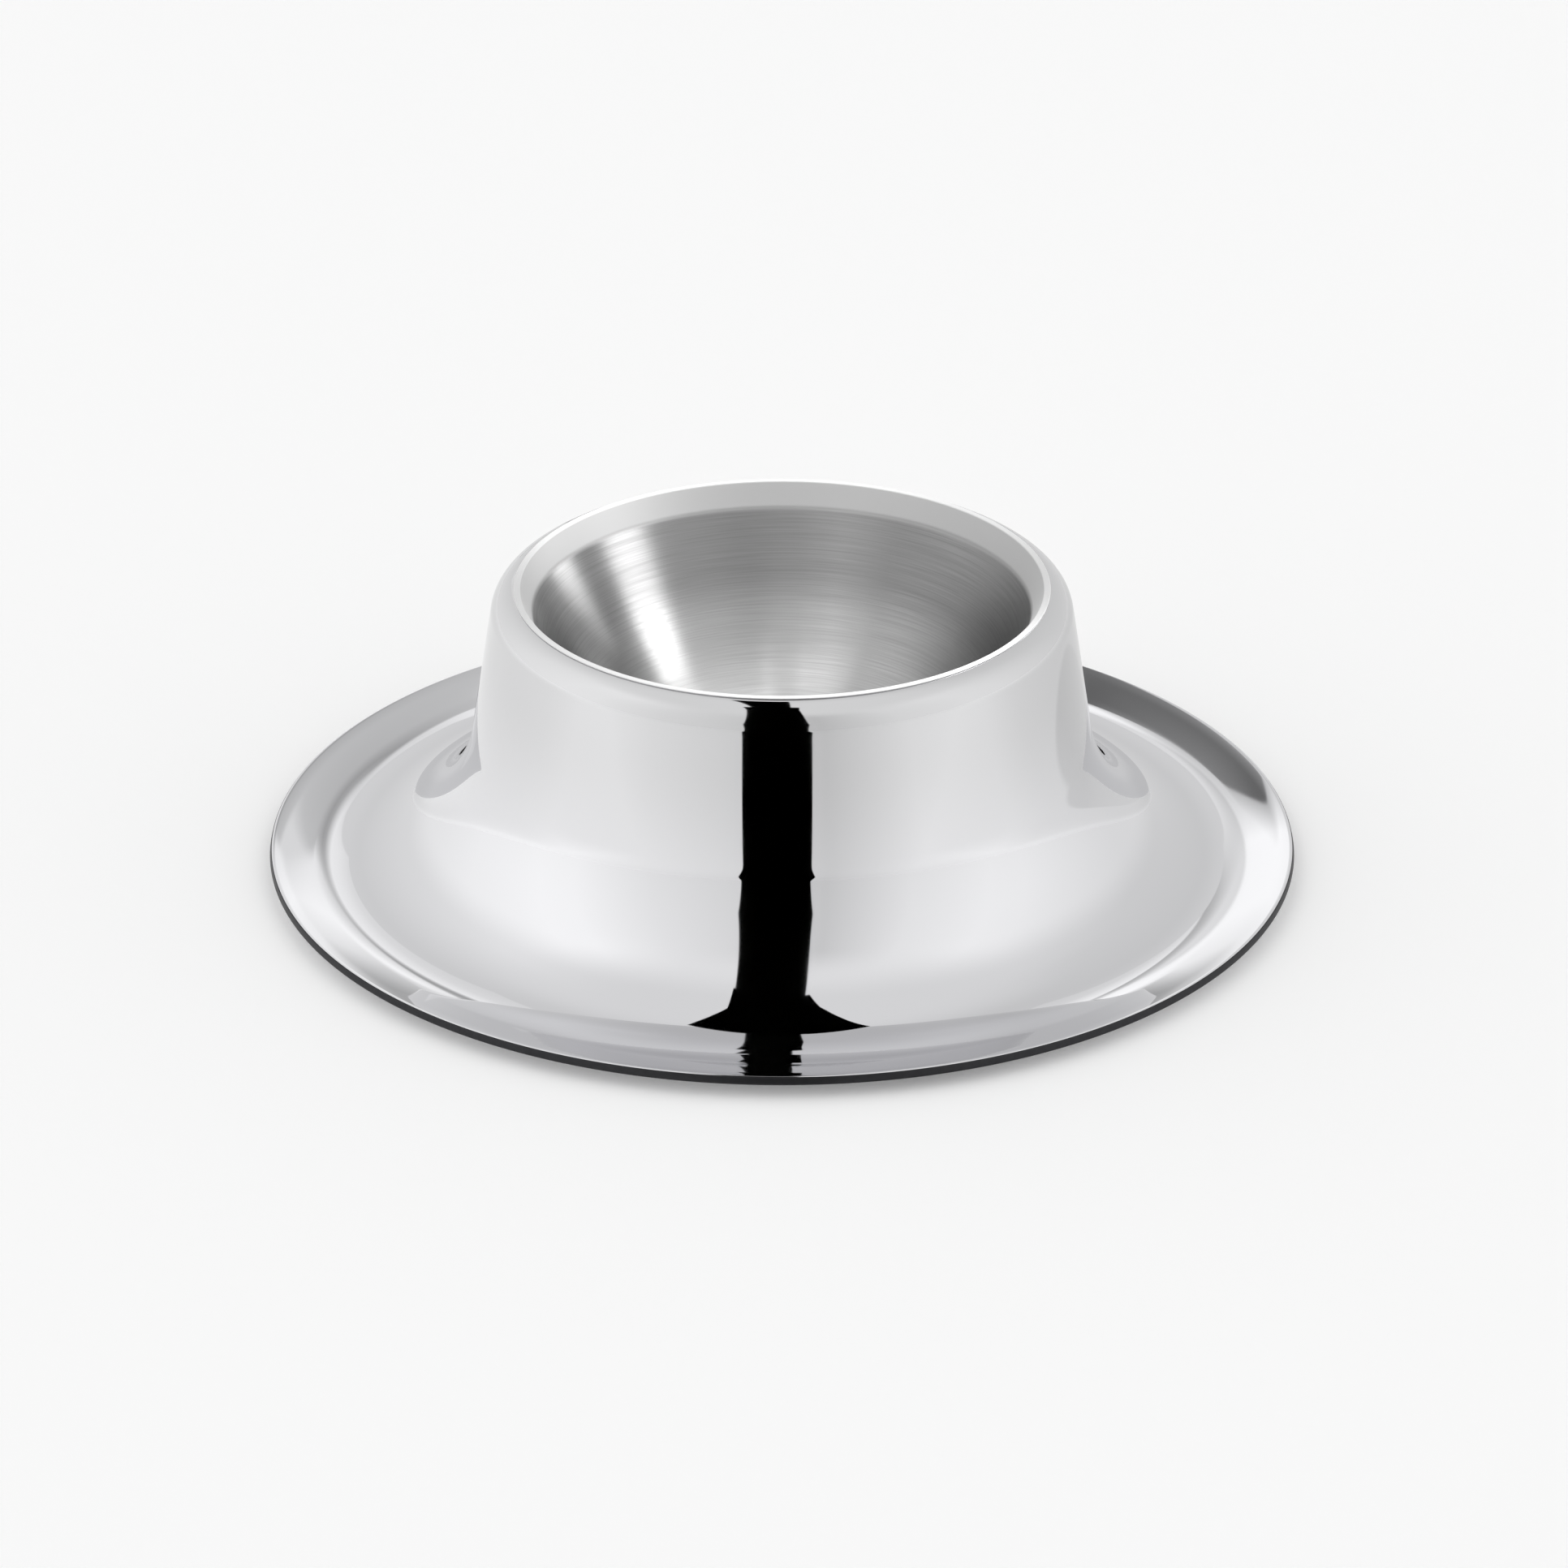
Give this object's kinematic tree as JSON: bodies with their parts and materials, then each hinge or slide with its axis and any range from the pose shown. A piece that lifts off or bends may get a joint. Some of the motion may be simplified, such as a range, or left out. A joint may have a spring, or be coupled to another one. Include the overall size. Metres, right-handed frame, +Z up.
{
  "type": "egg cup",
  "caption": "Polished stainless steel egg cup: a bell-shaped stand that flares into a dished saucer, with a brushed bowl set in its mouth.",
  "frame": {"origin": "centre of the ring that the cup stands on, at table height", "axes": "+Z up along the axis of revolution, +Y away from the viewer, +X to the right"},
  "size_m": [0.094, 0.094, 0.0269],
  "materials": {
    "polished_steel": "polished",
    "brushed_bowl_steel": "satin"
  },
  "bodies": {
    "root": {"stand_shell": "polished_steel", "egg_bowl": "brushed_bowl_steel"}
  },
  "joints": []
}
